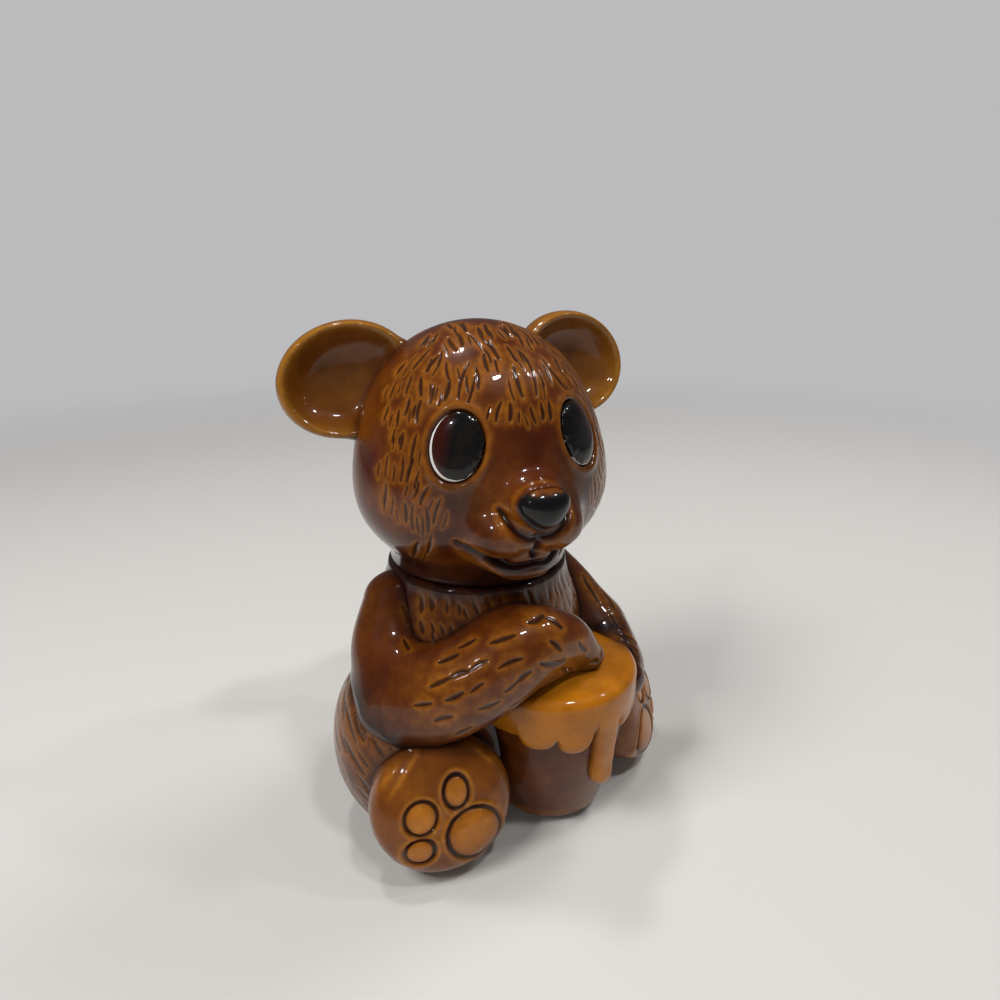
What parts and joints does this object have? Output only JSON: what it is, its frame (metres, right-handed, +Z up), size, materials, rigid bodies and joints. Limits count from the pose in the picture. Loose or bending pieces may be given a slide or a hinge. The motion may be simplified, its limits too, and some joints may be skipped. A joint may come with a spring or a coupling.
{
  "type": "honey jar",
  "caption": "Ceramic honey jar in the form of a sitting bear cub whose head lifts off as the lid, with one arm over a small pot of dripping honey",
  "frame": {"origin": "middle of the bounding box at the table, under the foot ring", "axes": "+Z up, the bear faces -Y, its left side is +X"},
  "size_m": [0.1038, 0.0834, 0.1356],
  "materials": {
    "brown_glaze": "gloss breaking glaze",
    "head_glaze": "gloss breaking glaze",
    "paw_glaze": "gloss breaking glaze",
    "ear_glaze": "gloss glaze",
    "honey_glaze": "gloss glaze",
    "pad_glaze": "gloss glaze",
    "black_glaze": "gloss glaze",
    "white_glaze": "gloss glaze",
    "bare_clay": "unglazed"
  },
  "bodies": {
    "jar": {"torso_shell": "brown_glaze", "foot_ring": "bare_clay", "right_arm": "brown_glaze", "left_arm": "brown_glaze", "right_foot": "paw_glaze", "left_foot": "paw_glaze", "honey_pot": "brown_glaze", "honey": "honey_glaze", "right_heel_pad": "pad_glaze", "right_toe_pad_1": "pad_glaze", "right_toe_pad_2": "pad_glaze", "right_toe_pad_3": "pad_glaze", "left_heel_pad": "pad_glaze", "left_toe_pad_1": "pad_glaze", "left_toe_pad_2": "pad_glaze", "left_toe_pad_3": "pad_glaze"},
    "lid": {"head_shell": "head_glaze", "lid_flange": "bare_clay", "nose": "black_glaze", "right_eye": "black_glaze", "left_eye": "black_glaze", "right_eye_white": "white_glaze", "left_eye_white": "white_glaze", "right_ear": "ear_glaze", "left_ear": "ear_glaze"}
  },
  "joints": [
    {"name": "lid_lift", "type": "slide", "parent": "jar", "child": "lid", "axis": [0, 0, 1], "range_m": [0, 0.06]}
  ]
}
